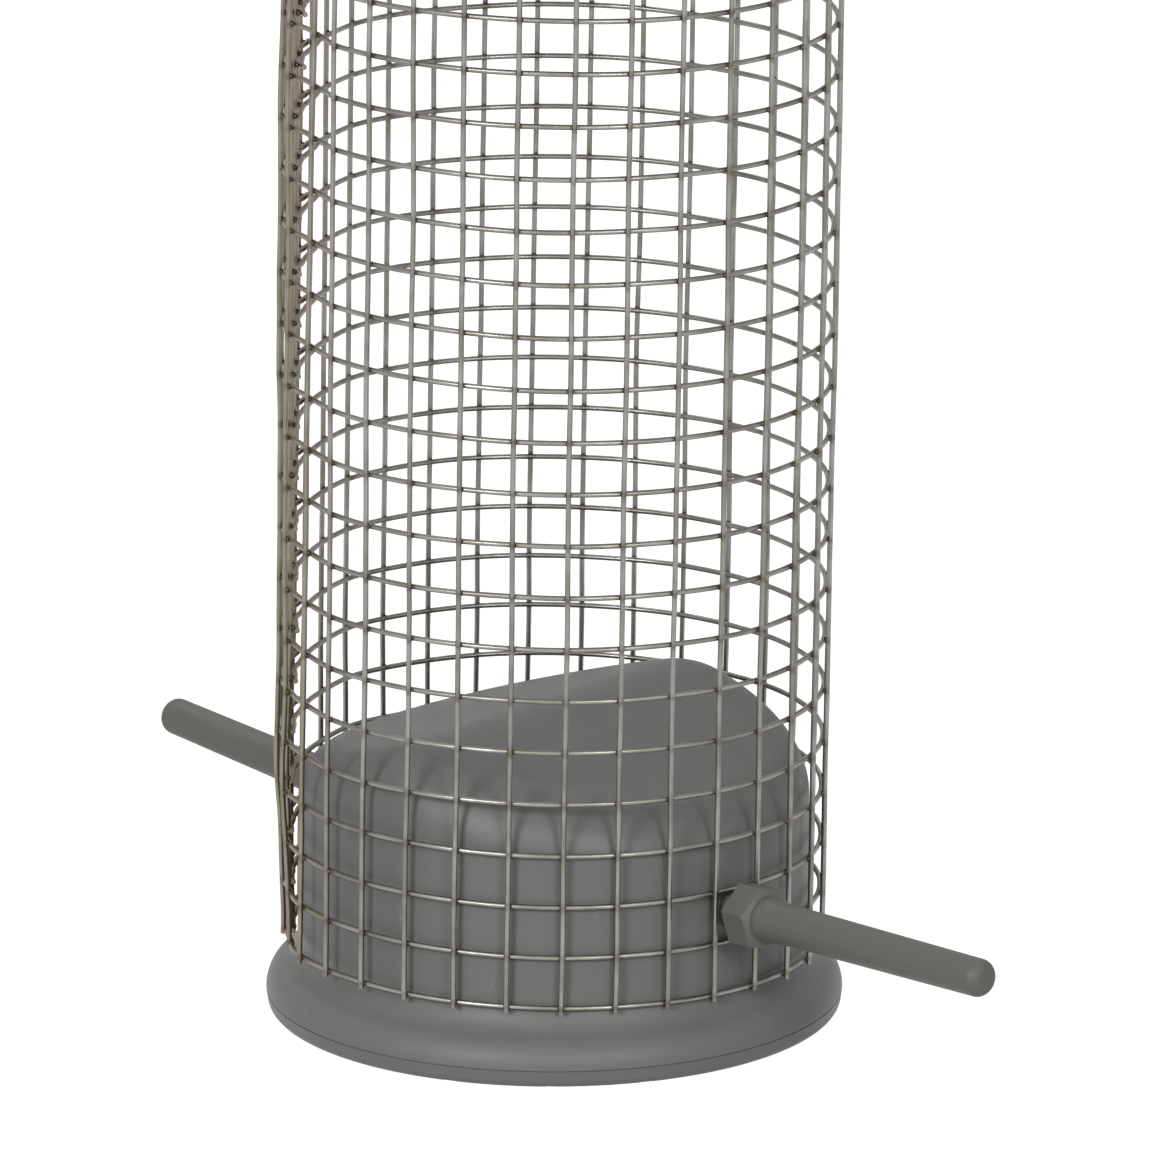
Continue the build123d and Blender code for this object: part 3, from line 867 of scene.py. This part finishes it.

# %% [markdown]
# ## Steel finishes
# Wire, bail and screws share the drawn steel. The mesh's wires also get the heat marks, and the
# wires towards the tube's left edge, where the layers lap, are browned a little more.

# %% Steel finishes
STEEL_BUMP = {"Strength": 0.15, "Distance": 0.05 * MM}
HEAT_REACH = 0.8 * MM
HEAT_COLOUR = (0.10, 0.078, 0.058, 1)
LAP_BROWN = (0.24, 0.19, 0.125, 1)
LAP_BROWN_FROM = 26 * MM
LAP_BROWN_FULL = 31 * MM
LAP_BROWN_SHARE = 0.5


def browned_at_lap_and_welds(tree, place, colour, heat):
    """The steel's colour, browned towards the lap at the left, with the weld's heat over that."""
    leftwards = vector_math(tree, "DOT_PRODUCT", place, tuple(-picture_right), output="Value")
    lap_brown = add(tree, "ShaderNodeMapRange", {"Value": leftwards, "From Min": LAP_BROWN_FROM,
                                            "From Max": LAP_BROWN_FULL,
                                            "To Max": LAP_BROWN_SHARE}).outputs[0]
    distance = add(tree, "ShaderNodeAttribute", attribute_name="from_weld").outputs["Fac"]
    mark = add(tree, "ShaderNodeGroup",
               {"Vector": place, "Distance": distance, "Reach": HEAT_REACH, "Strength": heat},
               node_tree=HEAT)
    return mixed(tree, mark.outputs["Mask"], mixed(tree, lap_brown, colour, LAP_BROWN), HEAT_COLOUR)


def drawn_steel(name, clean, dull, blotch_size, heat=0.0):
    material, tree, output = fresh_material(name)
    place = add(tree, "ShaderNodeTexCoord").outputs["Object"]
    steel = add(tree, "ShaderNodeGroup",
                {"Vector": place, "Clean": (*clean, 1), "Dull": (*dull, 1),
                 "Blotch Size": blotch_size}, node_tree=STEEL)
    colour = steel.outputs["Colour"]
    if heat:
        colour = browned_at_lap_and_welds(tree, place, colour, heat)
    add_skin(tree, output, steel, colour, STEEL_BUMP, {"Metallic": 1.0})
    return material


mesh_steel = drawn_steel("mesh_steel", clean=(0.305, 0.303, 0.28), dull=(0.21, 0.20, 0.172),
                         blotch_size=5 * MM, heat=0.75)
# The beads' near-black brown is partly heat tint and partly painted shade for the crevices where the
# wires cross.
weld_bead_and_crevice_shade = drawn_steel("weld_bead_and_crevice_shade", clean=(0.11, 0.092, 0.075), dull=(0.05, 0.038, 0.03),
                         blotch_size=1 * MM)
bail_steel = drawn_steel("bail_steel", clean=(0.50, 0.49, 0.47), dull=(0.40, 0.39, 0.36),
                         blotch_size=12 * MM)
screw_steel = drawn_steel("screw_steel", clean=(0.55, 0.54, 0.52), dull=(0.42, 0.41, 0.38),
                          blotch_size=3 * MM)
print("steel finishes:", mesh_steel.name, weld_bead_and_crevice_shade.name, bail_steel.name, screw_steel.name)

# %% [markdown]
# ## The mesh itself
# The trees run on plain seed meshes: the sheet's path as a line, and the columns as loose
# points. The uprights lie outside the hoops, and the beads between the two. The grown wires take
# the place of the straight ones in the frame.

# %% Seeds of the mesh
HOOP_STUB = 1.7 * MM
LAYER_STEP = 0.57 * MM


def path_seed():
    """The hoops' line from stub to stub, with evenly spaced points, about eight to a cell."""
    stub = HOOP_STUB / (COLUMN_STEP * OUTER_HOOP_R)
    first, last = -stub, COLUMNS - 1 + stub
    count = int((last - first) * POINTS_PER_CELL) + 1
    points = [sheet_point(first + (last - first) * i / count) for i in range(count + 1)]
    mesh = bpy.data.meshes.new("hoop_path")
    mesh.from_pydata(points, [(i, i + 1) for i in range(count)], [])
    return mesh


def column_seed(outwards):
    mesh = bpy.data.meshes.new("columns")
    mesh.from_pydata([sheet_point(column, outwards) for column in range(COLUMNS)], [], [])
    return mesh


print("columns", COLUMNS, "and rows", ROWS)

# %% [markdown]
# Each set of wires is then one call: its seed, its tree and its values. The hoops' ends may be
# trimmed by more than the uprights', because their uneven ends show at the lap.

# %% Mesh pieces
UPRIGHT_EXTRA = 0.15 * MM
HOOP_TRIM = 0.5 * MM
UPRIGHT_TRIM = 0.3 * MM
BEAD_SIZE = (0.26 * MM, 0.40 * MM, 0.38 * MM)
BEAD_SPREAD = 0.15
MESH_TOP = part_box("mesh_uprights")[1].z

wire_values = {"Pitch": PITCH, "Wire Radius": WIRE_R, "Sides": WIRE_SIDES, "Finish": mesh_steel}
hoops = grown("wire_hoops", path_seed(), HOOPS,
              {**wire_values, "Rows": ROWS, "Lowest": LOWEST_HOOP, "Stub Spread": HOOP_TRIM})
uprights = grown("wire_uprights", column_seed(LAYER_STEP), UPRIGHTS,
                 {**wire_values, "Low": MESH_FOOT - UPRIGHT_EXTRA, "High": MESH_TOP + UPRIGHT_EXTRA,
                  "Steps": (ROWS - 1) * POINTS_PER_CELL, "Lowest Hoop": LOWEST_HOOP,
                  "Stub Spread": UPRIGHT_TRIM})
welds = grown("weld_beads", column_seed(LAYER_STEP / 2), WELDS,
              {"Rows": ROWS, "Lowest": LOWEST_HOOP, "Pitch": PITCH, "Bead Size": BEAD_SIZE,
               "Size Spread": BEAD_SPREAD, "Finish": weld_bead_and_crevice_shade})

# %% [markdown]
# Each grown piece now has to say what it is: the body that it rides on, and the solids that it
# stands for. The beads stand for none, because the solids have no welds.

# %% Places in the frame
def finish_piece(piece, slot, *replaced):
    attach(piece, "feeder")
    if replaced:
        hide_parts(*replaced)


finish_piece(hoops, "mesh_steel", "mesh_hoops")
finish_piece(uprights, "mesh_steel", "mesh_uprights")
finish_piece(welds, "mesh_steel")
print("riding on the feeder:", hoops.name, uprights.name, welds.name)

# %% [markdown]
# ## Finishes for the pieces that stay
# The castings, perches, screws, bail and lid keep their own shapes, and get their finishes
# through their material slots.

# %% Dress the frame's own pieces
DRESS = {
    casting_grey: ("base_casting", "foot_plate", "top_collar", "lid_dome"),
    perch_grey: ("perch_left", "perch_right"),
    bail_steel: ("hanger_bail",),
    screw_steel: ("foot_screws", "collar_screws", "collar_washers", "bail_clips"),
    bush_black: ("lid_bushes",),
}
for material, dressed in DRESS.items():
    for name in dressed:
        for slot in nodes[name].material_slots:
            slot.material = material
    print(material.name, "on", ", ".join(dressed))
